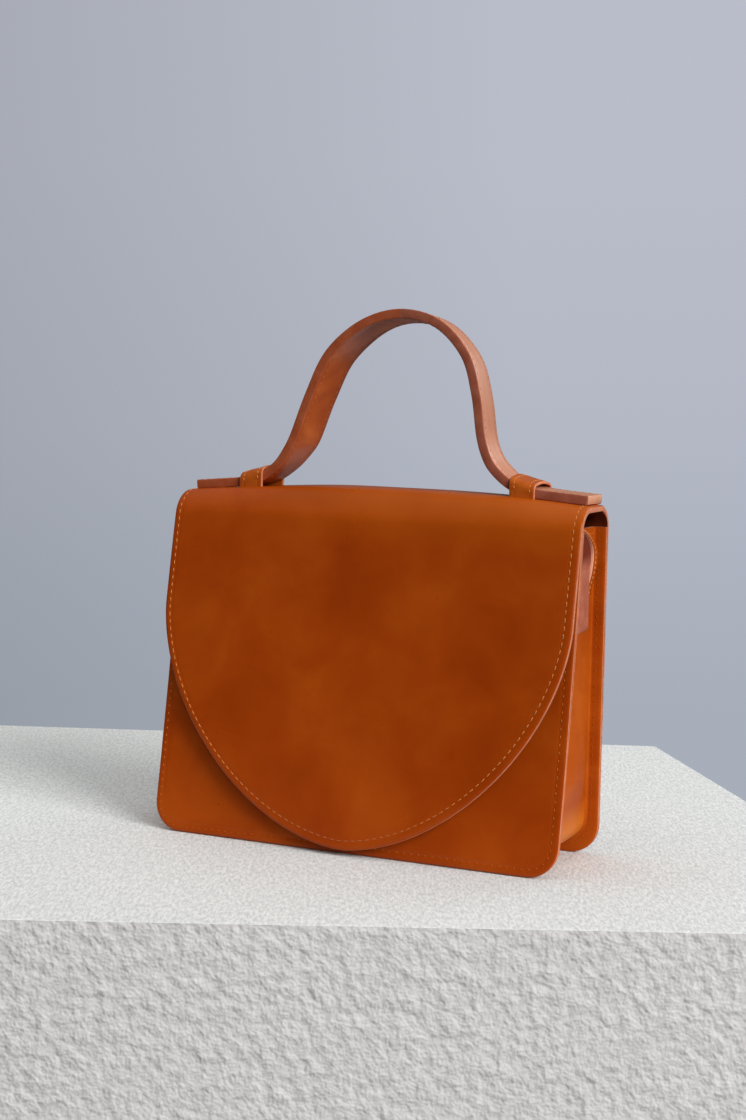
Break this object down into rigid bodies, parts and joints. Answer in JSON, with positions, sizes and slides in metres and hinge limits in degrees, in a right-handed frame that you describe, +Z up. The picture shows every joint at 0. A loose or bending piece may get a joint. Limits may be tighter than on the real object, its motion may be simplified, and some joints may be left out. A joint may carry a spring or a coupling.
{
  "type": "mini briefcase bag",
  "caption": "Small structured leather briefcase bag with a half-round flap over a leaning front panel, a folded gusset and a strap handle held in keepers.",
  "frame": {"origin": "under the middle of the whole bag, on the surface it stands on", "axes": "+Z up, the flap towards -Y, +X to the right of someone who faces the flap"},
  "size_m": [0.2258, 0.0716, 0.273],
  "materials": {
    "body_leather": "glossy, clouded",
    "strap_leather": "glossy",
    "lining_leather": "matt",
    "snap_steel": "satin"
  },
  "bodies": {
    "case": {"back_panel": "body_leather", "front_panel": "body_leather", "gusset": "body_leather", "gusset_tab_left": "body_leather", "gusset_tab_right": "body_leather", "snap_socket": "snap_steel", "snap_socket_washer": "snap_steel"},
    "top": {"top_band": "body_leather", "top_band_lining": "lining_leather", "keeper_left": "body_leather", "keeper_right": "body_leather", "handle_end_left": "strap_leather", "handle_end_right": "strap_leather"},
    "flap": {"flap_outer": "body_leather", "flap_lining": "lining_leather", "snap_stud": "snap_steel"},
    "handle": {"handle_outer": "strap_leather", "handle_inner": "strap_leather"}
  },
  "joints": [
    {"name": "top_fold", "type": "hinge", "parent": "case", "child": "top", "pos_m": [0, 0.03508, 0.1695], "axis": [-1, 0, 0], "range_deg": [0, 100]},
    {"name": "flap_fold", "type": "hinge", "parent": "top", "child": "flap", "pos_m": [0, -0.00749, 0.1699], "axis": [-1, 0, 0], "range_deg": [0, 140]},
    {"name": "handle_tilt", "type": "hinge", "parent": "top", "child": "handle", "pos_m": [0, 0.0188, 0.192], "axis": [1, 0, 0], "range_deg": [-35, 35], "stiffness_Nm_per_rad": 0.15}
  ]
}
